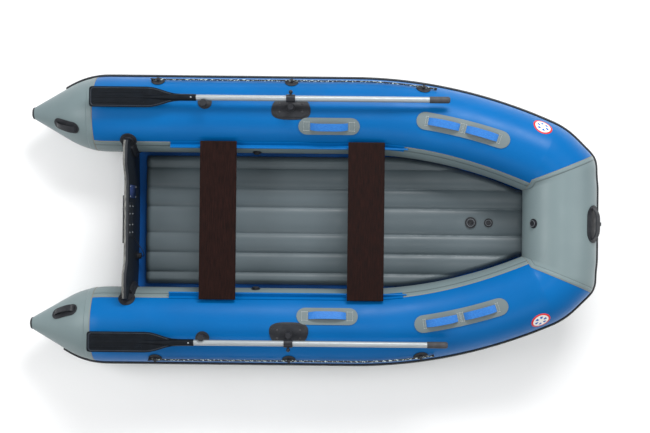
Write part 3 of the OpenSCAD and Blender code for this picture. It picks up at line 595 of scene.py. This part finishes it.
# Air floor
FLOOR_VALLEY = 0.104
RIB_HEIGHT = 0.020
MIDDLE_RIB = 0.075
SIDE_RIB = 0.112
FLOOR_SIDE_GAP = 0.013
FLOOR_EDGE_TUCK = 0.008
FLOOR_GAP_RUN = 0.300         # the gap at the floor's sides closes over this length of the bend
FLOOR_LOW_RISE = 0.42         # share of the tubes' rise that the floor follows at first
FLOOR_HIGH_RISE = 0.5         # the same share further up
FLOOR_RISE_CHANGE = 0.105     # rise of the tubes where the share changes
RIB_POWER = 0.55
SKIN_LOW = 0.012
SKIN_POWER = 1.6              # roundness of the bottom skin's sections
KEEL_POWER = 2.2              # how late the keel rises towards the bow
KEEL_FRONT_DROP = 0.004
TUCK_AFT = 0.062              # the skin's edge lies this far under the side tubes
TUCK_GAIN = 0.103             # and this much further at the bow
TUCK_POWER = 1.2
TUCK_START = 0.26             # share of the bow quarter's length over which it grows
EDGE_DROP = 0.002             # the skin's edge lies this far below the side tubes
EDGE_DROP_GAIN = 0.008        # and this much lower once the tubes have risen by EDGE_DROP_RISE
EDGE_DROP_RISE = 0.050
FLOOR_AFT_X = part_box("air_floor")[0][0]
FLOOR_FRONT_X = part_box("air_floor")[1][0]
SKIN_FRONT_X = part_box("hull_bottom")[1][0]


def tuck_at(x):
    start = CORNER_X - QUARTER * TUCK_START
    t = max(0, min(1, (x - start) / (SKIN_FRONT_X - start)))
    return TUCK_AFT + TUCK_GAIN * t ** TUCK_POWER


def inner_y(x, tuck):
    """Half the distance between the tubes, at a lateral tuck inside their inner edge."""
    if x <= BEND_X:
        return AXIS_Y - TUBE_R + tuck
    if x <= CORNER_X + tuck * sin(BEND_TURN):
        return AXIS_Y - BEND_R + math.sqrt((BEND_R - TUBE_R + tuck) ** 2 - (x - BEND_X) ** 2)
    return CORNER_Y + math.sqrt(max(tuck ** 2 - (x - CORNER_X) ** 2, 1e-6))


def lift_at(x):
    if x <= BEND_X:
        return 0.0
    h = math.degrees(math.asin(min(1, (x - BEND_X) / (BEND_R - TUBE_R))))
    return BOW_RISE * min(h / BEND_TURN, 1) ** RISE_POWER


def edge_z(x):
    drop = EDGE_DROP + EDGE_DROP_GAIN * min(1, lift_at(x) / EDGE_DROP_RISE)
    return TUBE_R + lift_at(x) - math.sqrt(TUBE_R ** 2 - (TUBE_R - tuck_at(x)) ** 2) - drop


def keel_z(x):
    t = max(0, (x - BEND_X) / (SKIN_FRONT_X - BEND_X))
    return SKIN_LOW + (edge_z(SKIN_FRONT_X) - KEEL_FRONT_DROP - SKIN_LOW) * t ** KEEL_POWER


def skin_z(x, y):
    share = min(1, abs(y) / inner_y(x, tuck_at(x)))
    return keel_z(x) + (edge_z(x) - keel_z(x)) * share ** SKIN_POWER


def floor_top(x):
    lift = lift_at(x)
    high = max(0, lift - FLOOR_RISE_CHANGE)
    low = min(lift, FLOOR_RISE_CHANGE)
    return FLOOR_VALLEY + high * FLOOR_HIGH_RISE + low * FLOOR_LOW_RISE


def floor_half(x):
    closed = max(0, min(1, (x - BEND_X) / FLOOR_GAP_RUN))
    gap = FLOOR_SIDE_GAP - (FLOOR_SIDE_GAP + FLOOR_EDGE_TUCK) * closed
    return inner_y(min(x, CORNER_X), 0) - gap


def rib(y):
    y = abs(y)
    u = y / MIDDLE_RIB if y <= MIDDLE_RIB else ((y - MIDDLE_RIB) % SIDE_RIB) / SIDE_RIB * 2 - 1
    return RIB_HEIGHT * max(0, 1 - u * u) ** RIB_POWER


SIDE_ROUND = 0.035            # rounding of the floor's side edges
AFT_ROUND = 0.030             # rounding of its aft edge
FLOOR_LIFT = 0.0012           # the floor lies this far above the bottom skin


def rounded(distance, radius):
    """How far a rounded edge falls at a distance from that edge."""
    return radius * max(0, 1 - distance / radius) ** 2


def floor_section(x):
    """One section of the floor: up the side, across the ribs and down again."""
    half = floor_half(x)
    crest = floor_top(x) - rounded(x - FLOOR_AFT_X, AFT_ROUND)
    top = [Vector((x, y, crest + rib(y) - rounded(half - abs(y), SIDE_ROUND)))
           for y in steps(-half, half, 150)]
    low = [Vector((x, y, skin_z(x, y) + FLOOR_LIFT)) for y in steps(half, -half, 40)]
    return top + low


floor_xs = steps(FLOOR_AFT_X, FLOOR_AFT_X + AFT_ROUND, 5) + steps(FLOOR_AFT_X + 0.04, BEND_X, 24)
floor_xs += steps(BEND_X, FLOOR_FRONT_X, 40)[1:]
verts, faces, _ = grid([floor_section(x) for x in floor_xs], closed=True, caps=True)
floor = new_piece("air_floor_skin", verts, faces, [FLOOR_GREY])
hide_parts("air_floor")


# Seam tape that joins the bottom skin to the underside of the tubes
BOTTOM_TAPE_W = 0.028
BOTTOM_TAPE_SINK = 0.0015
TUBE_SINK = 0.003


def under_tube(s, tuck):
    """Point on the tube's underside, at a lateral tuck from its inner edge."""
    return skin_point(s, math.degrees(math.asin(1 - tuck / s[4])) - 180, -TUBE_SINK)


def bottom_tape_ring(s):
    tuck = TUCK_AFT
    for _ in range(4):
        tuck = tuck_at(under_tube(s, tuck)[0])
    outer, inner = under_tube(s, tuck), under_tube(s, tuck - BOTTOM_TAPE_W)
    low = [Vector((p[0], p[1], skin_z(p[0], p[1]) - BOTTOM_TAPE_SINK)) for p in (inner, outer)]
    return [outer, inner] + low


TAPE_AFT_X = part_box("hull_bottom")[0][0] + 0.002
tape_row = [s for s in strake_row if s[0] > TAPE_AFT_X]
verts, faces, _ = grid([bottom_tape_ring(s) for s in tape_row], closed=True, caps=True)
new_piece("bottom_seam_tape", verts, faces, [DEEP_BLUE])

# Lifelines: three-strand rope through the eyes of its patches
LIFELINE_ANGLE = 56.0
LINE_R = 0.005
LINE_CLEAR = 0.007
LINE_HEIGHT = LINE_R + LINE_CLEAR
LINE_INSET = 0.008
LINE_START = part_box("lifelines")[0][0] + LINE_INSET
LINE_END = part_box("lifelines")[1][0] - LINE_INSET
STRAND_PITCH = 0.034
STRAND_OFFSET, STRAND_SIZE = 0.5, 0.54   # shares of the rope's radius
KNOT_R, KNOT_STRAND_R, KNOT_HALF = 0.0045, 0.0034, 0.006
KNOT_TURN = 720


def rope_frame(x):
    s = side_station(x)
    centre = skin_point(s, LIFELINE_ANGLE, LINE_HEIGHT)
    out = (centre - Vector(s[:3])).normalized()
    ahead = Vector((cos(s[3]), -sin(s[3]), 0.0))
    across = out.cross(ahead).normalized()
    return centre, out, across


def strand(k):
    rows = []
    for x in steps(LINE_START, LINE_END, 520):
        centre, out, across = rope_frame(x)
        turn = 360 * ((x - LINE_START) / STRAND_PITCH + k / 3)
        core = centre + LINE_R * STRAND_OFFSET * (out * cos(turn) + across * sin(turn))
        rows.append([core + LINE_R * STRAND_SIZE * (out * cos(a) + across * sin(a))
                     for a in range(0, 360, 60)])
    return rows


def knot(x):
    """Rows of a stopper knot: two fat turns of the rope's own strand."""
    rows = []
    centre, out, across = rope_frame(x)
    ahead = across.cross(out)
    for t in steps(0, KNOT_TURN, 40):
        away = out * cos(t) + across * sin(t)
        mid = centre + KNOT_R * away + ahead * lerp(-KNOT_HALF, KNOT_HALF, t / KNOT_TURN)
        rows.append([mid + KNOT_STRAND_R * (away * cos(a) + ahead * sin(a)) for a in range(0, 360, 60)])
    return rows


rope_parts = [strand(k) for k in range(3)] + [knot(LINE_START), knot(LINE_END)]
for side in ("port", "starboard"):
    verts, faces, picks = [], [], []
    for k, rows in enumerate(rope_parts):
        v, f, _ = grid(rows if side == "port" else mirrored(rows), closed=True, caps=True)
        picks += [1 if k < 2 else 0] * len(f)
        faces += [tuple(n + len(verts) for n in face) for face in f]
        verts += v
    rope = new_piece(side + "_lifeline_rope", verts, faces, [ROPE, FLECKED], picks)
    if side == "port":
        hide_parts("lifelines")


# Pieces that keep their CAD shape, with softened edges
dress("cone_caps", RUBBER, 0.003)
dress("cone_handles", RUBBER, 0.0025)
dress("transom_holders", RUBBER, 0.002)
dress("lifeline_patches", RUBBER, 0.0014)
dress("oarlock_bases", RUBBER, 0.003, 3)
dress("oar_clips", RUBBER, 0.0025)
dress("bow_handle", RUBBER, 0.0025)
dress("keel_strip", RUBBER, 0.0015)
dress("floor_valve", PLASTIC, 0.0015)
dress("relief_valve", PLASTIC, 0.0015)
dress("side_valves", PLASTIC, 0.0015)
dress("bow_valve", PLASTIC, 0.0015)
dress("drain_valve", PLASTIC, 0.002)
dress("outer_motor_pad", PLASTIC, 0.002)
dress("inner_motor_plate", PLASTIC, 0.001)
BARE_PLY_W = 0.011
EDGE = board_edge("board_edge", "#8d8d88", "#2a2d31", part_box("transom_board")[0][0] + BARE_PLY_W)
dress("transom_board", BOARD, 0.003, 3, edge_mat=EDGE)
dress("seat_rails", BLUE, 0.001)
dress("grab_patches", PATCH_GREY, 0.001)
dress("grab_straps", WEB, 0.0008)
dress("hull_bottom", DEEP_BLUE, 0)
for seat in ("aft", "forward"):
    dress(seat + "_seat_board", BROWN, 0.003, 3, body=seat + "_seat")
    dress(seat + "_seat_runners", DEEP_BLUE, 0.0015, body=seat + "_seat")
for side in ("port", "starboard"):
    dress(side + "_oarlock_head", PLASTIC, 0.0015, body=side + "_oarlock")
    dress(side + "_oar_collar", PLASTIC, 0.0015, body=side + "_oar")
    dress(side + "_oar_shaft", ALU, 0.0006, body=side + "_oar")
    dress(side + "_oar_blade", BLADE, 0.0018, body=side + "_oar")
    dress(side + "_oar_grip", GRIP, 0.003, body=side + "_oar")


# Small details
def merged(name, parts, mats, body, pick=None):
    """One object from several grids of closed rings."""
    verts, faces, picks = [], [], []
    for k, rows in enumerate(parts):
        v, f, _ = grid(rows, closed=True, caps=True)
        faces += [tuple(n + len(verts) for n in face) for face in f]
        verts += v
        picks += [pick(k) if pick else 0] * len(f)
    obj = new_piece(name, verts, faces, mats, picks, body=body)
    return obj


def ring_points(centre, axis, radius, angles):
    """Points of a circle about an axis."""
    axis = Vector(axis).normalized()
    one = axis.orthogonal().normalized()
    two = axis.cross(one)
    return [Vector(centre) + radius * (one * cos(a) + two * sin(a)) for a in angles]


DOME_SHAPE = ((-0.3, 1.0), (0.35, 1.0), (0.7, 0.86), (0.92, 0.55), (1.0, 0.2))


def dome(centre, axis, radius, height):
    """Rows of a rivet or bolt head that stands on a surface."""
    up = Vector(axis).normalized() * height
    return [ring_points(Vector(centre) + up * lift, axis, radius * width, range(0, 360, 20))
            for lift, width in DOME_SHAPE]


SWEEP_SIDE = Vector((0.3, 0.2, 1))       # a direction that none of the cords follows


def swept(points, radius, sides_count=10):
    """Rows of a round cord through a list of points."""
    rows = []
    for i, point in enumerate(points):
        ahead = (points[min(i + 1, len(points) - 1)] - points[max(i - 1, 0)]).normalized()
        one = ahead.cross(SWEEP_SIDE).normalized()
        two = ahead.cross(one)
        turn = steps(0, 360, sides_count)[:-1]
        rows.append([point + radius * (one * cos(a) + two * sin(a)) for a in turn])
    return rows


def bezier(controls, n=24):
    """Points of a cubic curve with four control points."""
    a, b, c, d = (Vector(p) for p in controls)
    return [a * (1 - t) ** 3 + b * 3 * t * (1 - t) ** 2 + c * 3 * t * t * (1 - t) + d * t ** 3
            for t in steps(0, 1, n)]


def block(lo, hi):
    (x0, y0, z0), (x1, y1, z1) = lo, hi
    corners = ((x0, y0), (x1, y0), (x1, y1), (x0, y1))
    return [[Vector((x, y, z)) for x, y in corners] for z in (z0, z1)]


# Transom: plain label with rivets, bolts of the motor plate, cord of the drain plug
TRANSOM_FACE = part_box("transom_board")[1][0]
PLATE_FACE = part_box("inner_motor_plate")[1][0]
LABEL_T = 0.0016
LABEL_GAP = 0.0002
LABEL_Y, LABEL_Z = (0.118, 0.190), (0.17, 0.36)
LABEL_RIVET_INSET = (0.008, 0.010)
BOLT_YS, BOLT_ZS = (0.072, 0.030, -0.030, -0.072), (0.285, 0.375)
LABEL_RIVET, PLATE_BOLT = (0.0036, 0.003), (0.0042, 0.0032)      # radius and height of the heads
DRAIN_CORD_R = 0.0022
label_back = TRANSOM_FACE + LABEL_GAP
label = block((label_back, LABEL_Y[0], LABEL_Z[0]), (label_back + LABEL_T, LABEL_Y[1], LABEL_Z[1]))
LABEL_FILM = moulded("label_film", "#2b3a63", "#26345a", 0.4)
merged("transom_label", [label], [LABEL_FILM], "hull")
rivet_ys = (LABEL_Y[0] + LABEL_RIVET_INSET[0], LABEL_Y[1] - LABEL_RIVET_INSET[0])
rivet_zs = (LABEL_Z[0] + LABEL_RIVET_INSET[1], LABEL_Z[1] - LABEL_RIVET_INSET[1])
label_face = TRANSOM_FACE + LABEL_T
rivets = [dome((label_face, y, z), (1, 0, 0), *LABEL_RIVET) for y in rivet_ys for z in rivet_zs]
rivets += [dome((PLATE_FACE, y, z), (1, 0, 0), *PLATE_BOLT) for y in BOLT_YS for z in BOLT_ZS]
merged("transom_rivets", rivets, [STEEL], "hull")
cord = bezier(((TRANSOM_FACE + 0.022, -0.212, 0.096), (TRANSOM_FACE + 0.075, -0.215, 0.13),
               (TRANSOM_FACE + 0.012, -0.15, 0.13), (TRANSOM_FACE + 0.004, -0.105, 0.22)))
merged("drain_cord", [swept(cord, DRAIN_CORD_R)], [ROPE], "hull")

# Pale rims on the caps of the floor and bow valves: painted highlights along the rims
# pale grey for the rims: a painted highlight
RIM_HIGHLIGHT = moulded("valve_rim_highlight", "#6b7074", "#7c8185", 0.4)


def circle_rows(centre, axis, radius, thickness):
    """Rows of a thin round rim."""
    return swept(ring_points(centre, axis, radius, steps(0, 360, 40)), thickness, 8)


def floor_pitch(x):
    reach = 0.03
    return math.degrees(math.atan((floor_top(x + reach) - floor_top(x - reach)) / (2 * reach)))


def middle_x(node):
    return (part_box(node)[0][0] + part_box(node)[1][0]) / 2


CAP_SHARE, RIM_INSET, RIM_R = 0.72, 0.002, 0.0012
TUBE_VALVE_R, TUBE_VALVE_TOP, BOW_VALVE_ANGLE = 0.026, 0.011, -54
# Each floor valve: node, radius and height
FLOOR_VALVES = (("floor_valve", 0.032, 0.012), ("relief_valve", 0.025, 0.010))
VALVE_GLUE = 0.0006
rims = []
for node, radius, height in FLOOR_VALVES:
    x = middle_x(node)
    up = Vector((-sin(floor_pitch(x)), 0, cos(floor_pitch(x))))
    seat = Vector((x, 0, floor_top(x) + RIB_HEIGHT + VALVE_GLUE))
    rims.append(circle_rows(seat + up * height, up, radius * CAP_SHARE - RIM_INSET, RIM_R))
bow_valve = skin_point(bow_station(0), BOW_VALVE_ANGLE, TUBE_VALVE_TOP)
bow_valve_axis = (sin(BOW_VALVE_ANGLE), 0, cos(BOW_VALVE_ANGLE))
rims.append(circle_rows(bow_valve, bow_valve_axis, TUBE_VALVE_R * CAP_SHARE - RIM_INSET, RIM_R))
merged("valve_rims", rims, [RIM_HIGHLIGHT], "hull")

# Stitches at the ends of the grab handles
PATCH_TOP = 0.0042
THREAD_LENGTH, THREAD_WIDTH = 0.0052, 0.0013
THREAD_LOW, THREAD_HIGH = -0.001, 0.0009
STITCHES = 6                  # on each side of a stitched box


def tube_point(x, a, u, v, d):
    """Point on the tube at an offset along (u) and round (v) the skin from a place on it."""
    return skin_point(side_station(x + u), a + math.degrees(v / TUBE_R), d)


def stitch(x, a, along):
    """One short thread on a patch, lengthwise or crosswise."""
    half_length, half_width = THREAD_LENGTH / 2, THREAD_WIDTH / 2
    du, dv = (half_length, half_width) if along else (half_width, half_length)
    corners = [(-du, -dv), (du, -dv), (du, dv), (-du, dv)]
    return [[tube_point(x, a, u, v, PATCH_TOP + d) for u, v in corners] for d in (THREAD_LOW, THREAD_HIGH)]


def stitch_box(x, a, length, width):
    out = []
    for t in steps(-0.5, 0.5, STITCHES):
        for side in (-0.5, 0.5):
            out.append(stitch(x + t * length, a + math.degrees(side * width / TUBE_R), True))
            out.append(stitch(x + side * length, a + math.degrees(t * width / TUBE_R), False))
    return out


SINGLE_X, DOUBLE_X, DOUBLE_HALF = BEND_X - 0.146, BEND_X + 0.580, 0.102
STITCH_BOX_W = 0.048
# Each handle: place, angle round the tube, strap length, distance of its stitches and their length
HANDLES = [(SINGLE_X, -20, 0.206, 0.021, 0.030)]
HANDLES += [(DOUBLE_X + k * DOUBLE_HALF, -2, 0.168, 0.009, 0.012) for k in (-1, 1)]
stitches = []
for x, a, strap, away, box_length in HANDLES:
    for end in (-1, 1):
        stitches += stitch_box(x + end * (strap / 2 + away), a, box_length, STITCH_BOX_W)
for side in ("port", "starboard"):
    parts = stitches if side == "port" else [mirrored(rows) for rows in stitches]
    thread = moulded("thread_" + side, "#b9bfbd", "#a9b0ae", 0.6)
    merged(side + "_handle_stitches", parts, [thread], "hull")

# Rubber patches below the oarlock bases, and the bolts of the bases
OAR_X, OAR_Y, OAR_Z = BEND_X - 0.355, 0.661, 0.480
POST_OFFSET = 0.026
OARLOCK_ANGLE = math.degrees(math.asin(POST_OFFSET / TUBE_R))
OARLOCK_PATCH = (0.107, 0.050)
OARLOCK_PATCH_ANGLE = OARLOCK_ANGLE - 4.0
OARLOCK_BASE_TOP = 0.007
OARLOCK_BOLT = (0.0062, 0.0035)          # radius and height of a head
OARLOCK_BOLT_X, OARLOCK_BOLT_ANGLE = 0.062, 6.0
CORNER_POWER = 0.7            # below 1 the patch is squarer than an oval


def power(v, n):
    return math.copysign(abs(v) ** n, v)


def patch_ring(share, d):
    """One ring of a rounded patch on the straight tube."""
    ring = []
    for phi in steps(0, 360, 64)[:-1]:
        u = OARLOCK_PATCH[0] * share * power(cos(phi), CORNER_POWER)
        v = OARLOCK_PATCH[1] * share * power(sin(phi), CORNER_POWER)
        ring.append(tube_point(OAR_X, OARLOCK_PATCH_ANGLE, u, v, d))
    return ring


def oarlock_bolt(u, a):
    """A bolt head on the oarlock base, at a distance along the tube and an angle round it."""
    place = skin_point(side_station(OAR_X + u), a, OARLOCK_BASE_TOP)
    return dome(place, (0, sin(a), cos(a)), *OARLOCK_BOLT)


PATCH_SHAPE = ((1.0, -0.0005), (1.0, 0.0020), (0.975, 0.0028), (0.6, 0.0028), (0.05, 0.0028))
oarlock_patch = [patch_ring(share, d) for share, d in PATCH_SHAPE]
oarlock_bolts = [oarlock_bolt(u, OARLOCK_ANGLE + a) for u in (-OARLOCK_BOLT_X, OARLOCK_BOLT_X)
                 for a in (-OARLOCK_BOLT_ANGLE, OARLOCK_BOLT_ANGLE)]
for side in ("port", "starboard"):
    parts = [oarlock_patch] + oarlock_bolts
    parts = parts if side == "port" else [mirrored(rows) for rows in parts]
    merged(side + "_oarlock_patch", parts, [RUBBER, GRIP], "hull", lambda k: min(k, 1))

# Oars, as in the part's source
OAR_LENGTH = 1.947
OAR_INBOARD = 0.860           # from the oarlock to the end of the grip
BLADE_LENGTH = 0.488
BLADE_HALF = 0.0555
NECK = 0.0185
BLADE_TIP = OAR_X + OAR_INBOARD - OAR_LENGTH
SOCKET_X = BLADE_TIP + BLADE_LENGTH

# Rivets of the oar sockets
SOCKET_R = 0.0184
SOCKET_RIVET = (0.0045, 0.0028)          # radius and height of a head
SOCKET_RIVET_RUN = 0.062
SOCKET_RIVET_X = SOCKET_X + SOCKET_RIVET_RUN
for side, k in (("port", 1), ("starboard", -1)):
    heads = [dome((SOCKET_RIVET_X, k * OAR_Y, OAR_Z + z * SOCKET_R), (0, 0, z), *SOCKET_RIVET)
             for z in (1, -1)]
    merged(side + "_socket_rivets", heads, [STEEL], side + "_oar")

# Raised border round the faces of the oar blades, in a paler copy of the blade plastic: a painted highlight
# along the ridge
TAPER = BLADE_LENGTH * 0.36
BORDER_INSET = 0.008
BORDER_R = 0.0026
BORDER_Z = 0.0031             # its height above and below the blade's middle plane


def blade_half(u):
    """Half width of the blade at a distance from its tip."""
    t = max(0, (u - BLADE_LENGTH + TAPER) / TAPER)
    return NECK + (BLADE_HALF - NECK) * (0.5 + 0.5 * cos(180 * min(t, 1)))


# From the neck along one edge, round the corner, across the tip and back along the other edge
HALF_BORDER = [(u, -blade_half(u) + BORDER_INSET) for u in reversed(steps(0.022, BLADE_LENGTH - 0.045, 40))]
HALF_BORDER += [(0.016, -BLADE_HALF + 0.011), (0.011, -BLADE_HALF + 0.018)]
TIP_BORDER = [(0.0095, v) for v in steps(-0.034, 0.034, 8)]
BORDER = HALF_BORDER + TIP_BORDER + [(u, -v) for u, v in reversed(HALF_BORDER)]
for side, k in (("port", 1), ("starboard", -1)):
    routes = [[Vector((BLADE_TIP + u, k * (OAR_Y + v), OAR_Z + z)) for u, v in BORDER]
              for z in (BORDER_Z, -BORDER_Z)]
    borders = [swept(route, BORDER_R, 8) for route in routes]
    merged(side + "_blade_border", borders, [BLADE_RIM_HIGHLIGHT], side + "_oar")


# Stage: pale floor and soft studio lights, the strongest from the port side
def area_light(name, place, target, size, energy):
    data = bpy.data.lights.new(name, "AREA")
    data.shape = "RECTANGLE"
    data.size, data.size_y = size
    data.energy = energy
    obj = bpy.data.objects.new(name, data)
    bpy.context.scene.collection.objects.link(obj)
    obj.location = place
    obj.rotation_euler = (Vector(target) - Vector(place)).to_track_quat("-Z", "Y").to_euler()


area_light("key", (1.3, 4.3, 4.2), (0.5, 0.2, 0.2), (3.6, 1.4), 315)
area_light("ceiling", (0.9, 0.05, 7.4), (0.9, 0.05, 0.0), (1.3, 0.9), 40)
area_light("fill", (0.0, -4.2, 4.4), (0, 0, 0.2), (5.0, 2.0), 60)
area_light("stern_light", (-3.8, 0.3, 3.9), (0.3, 0, 0.2), (2.0, 2.6), 105)
area_light("bow_light", (4.2, 0.2, 3.6), (0.4, 0, 0.2), (2.0, 3.0), 60)

world = bpy.data.worlds.new("studio")
world.use_nodes = True
world.node_tree.nodes["Background"].inputs["Color"].default_value = (1, 1, 1, 1)
world.node_tree.nodes["Background"].inputs["Strength"].default_value = 0.40
bpy.context.scene.world = world

GROUND_HALF, GROUND_Z = 9, -0.0015
ground_corners = [(x * GROUND_HALF, y * GROUND_HALF, GROUND_Z)
                  for x, y in ((-1, -1), (1, -1), (1, 1), (-1, 1))]
floor_mesh = bpy.data.meshes.new("studio_floor")
floor_mesh.from_pydata(ground_corners, [], [(0, 1, 2, 3)])
studio_floor = bpy.data.objects.new("studio_floor", floor_mesh)
bpy.context.scene.collection.objects.link(studio_floor)
pale = Graph("studio_pale")
cloudy = pale.mix(pale.spread(pale.noise(0.7), 0, 1), (0.93, 0.935, 0.94, 1), (0.9, 0.905, 0.91, 1))
floor_mesh.materials.append(pale.finish(cloudy, 0.8))

# Camera: straight above, a little rolled, as in the photograph
CAMERA_HEIGHT = 6.5
CAMERA_X, CAMERA_Y = 0.0687, 0.0265
CAMERA_ROLL_DEG = 0.6
VIEW_WIDTH_DEG = 32.46
camera_data = bpy.data.cameras.new("camera")
camera_data.sensor_fit = "HORIZONTAL"
camera_data.angle = math.radians(VIEW_WIDTH_DEG)
camera = bpy.data.objects.new("camera", camera_data)
camera.location = (CAMERA_X, CAMERA_Y, CAMERA_HEIGHT)
camera.rotation_euler = (0, 0, math.radians(CAMERA_ROLL_DEG))
bpy.context.scene.collection.objects.link(camera)
bpy.context.scene.camera = camera

bpy.context.scene.view_settings.view_transform = "Standard"
